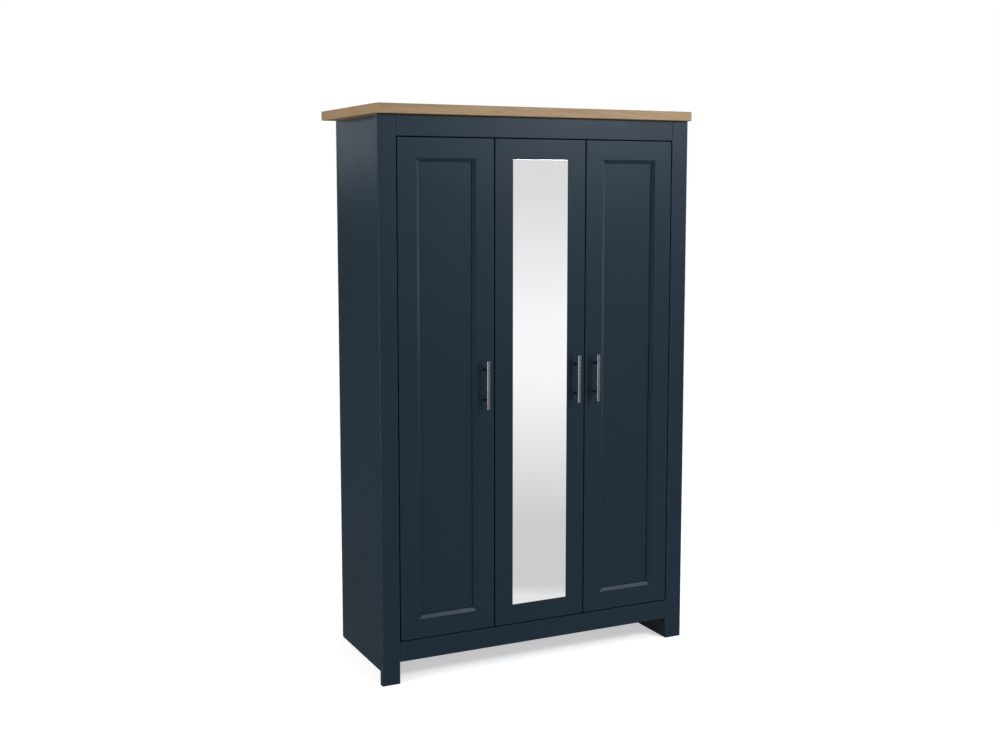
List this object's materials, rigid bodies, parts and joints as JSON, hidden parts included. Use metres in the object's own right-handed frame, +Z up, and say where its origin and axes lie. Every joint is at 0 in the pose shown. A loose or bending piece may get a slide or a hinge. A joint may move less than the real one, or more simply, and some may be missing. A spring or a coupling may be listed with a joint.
{
  "type": "wardrobe",
  "caption": "Wardrobe with hinged doors, one with a mirror, shelves on one side and a hanging rail on the other, on a plain box with a wood top.",
  "frame": {"origin": "centre of the bounding box at floor level", "axes": "+Z up, +Y towards the back, +X to the right as seen from the front; the doors face -Y"},
  "size_m": [1.119, 0.535, 1.8],
  "materials": {
    "oak_top": "satin oak-effect foil with fine grain",
    "painted_front": "satin navy foil",
    "painted_sides": "satin navy foil",
    "painted_doors": "satin navy foil",
    "painted_inside": "matt navy foil",
    "back_board": "matt printed board",
    "mirror_backing": "satin navy foil",
    "mirror": "clear mirror",
    "pull_nickel": "brushed nickel plate",
    "hinge_steel": "zinc-plated pressed steel",
    "rail_steel": "bright plated tube"
  },
  "bodies": {
    "carcass": {"top_panel": "oak_top", "side_panel_left": "painted_sides", "side_panel_right": "painted_sides", "front_post_left": "painted_front", "front_post_right": "painted_front", "top_rail": "painted_front", "plinth_rail": "painted_front", "base_panel": "painted_inside", "partition_panel": "painted_inside", "back_panel_left": "back_board", "back_panel_right": "back_board", "door_stop_batten": "painted_inside", "shelf_left_1": "painted_inside", "shelf_left_2": "painted_inside", "shelf_left_3": "painted_inside", "hat_shelf": "painted_inside", "hanging_rail": "rail_steel", "hinge_left_arm_1": "hinge_steel", "hinge_left_arm_2": "hinge_steel", "hinge_left_arm_3": "hinge_steel", "hinge_middle_arm_1": "hinge_steel", "hinge_middle_arm_2": "hinge_steel", "hinge_middle_arm_3": "hinge_steel", "hinge_right_arm_1": "hinge_steel", "hinge_right_arm_2": "hinge_steel", "hinge_right_arm_3": "hinge_steel"},
    "door_left": {"door_left_stile_left": "painted_doors", "door_left_stile_right": "painted_doors", "door_left_rail_top": "painted_doors", "door_left_rail_bottom": "painted_doors", "door_left_panel": "painted_doors", "pull_left_bar": "pull_nickel", "pull_left_foot_lower": "pull_nickel", "pull_left_foot_upper": "pull_nickel", "hinge_left_cup_1": "hinge_steel", "hinge_left_cup_2": "hinge_steel", "hinge_left_cup_3": "hinge_steel"},
    "door_middle": {"door_middle_stile_left": "painted_doors", "door_middle_stile_right": "painted_doors", "door_middle_rail_top": "painted_doors", "door_middle_rail_bottom": "painted_doors", "mirror_backing": "mirror_backing", "mirror_glass": "mirror", "pull_middle_bar": "pull_nickel", "pull_middle_foot_lower": "pull_nickel", "pull_middle_foot_upper": "pull_nickel", "hinge_middle_cup_1": "hinge_steel", "hinge_middle_cup_2": "hinge_steel", "hinge_middle_cup_3": "hinge_steel"},
    "door_right": {"door_right_stile_left": "painted_doors", "door_right_stile_right": "painted_doors", "door_right_rail_top": "painted_doors", "door_right_rail_bottom": "painted_doors", "door_right_panel": "painted_doors", "pull_right_bar": "pull_nickel", "pull_right_foot_lower": "pull_nickel", "pull_right_foot_upper": "pull_nickel", "hinge_right_cup_1": "hinge_steel", "hinge_right_cup_2": "hinge_steel", "hinge_right_cup_3": "hinge_steel"}
  },
  "joints": [
    {"name": "door_left_hinge", "type": "hinge", "parent": "carcass", "child": "door_left", "pos_m": [-0.474, -0.2219, 0.9195], "axis": [0, 0, -1], "range_deg": [0, 110]},
    {"name": "door_middle_hinge", "type": "hinge", "parent": "carcass", "child": "door_middle", "pos_m": [-0.1475, -0.2219, 0.9195], "axis": [0, 0, -1], "range_deg": [0, 110]},
    {"name": "door_right_hinge", "type": "hinge", "parent": "carcass", "child": "door_right", "pos_m": [0.474, -0.2219, 0.9195], "axis": [0, 0, 1], "range_deg": [0, 110]}
  ]
}
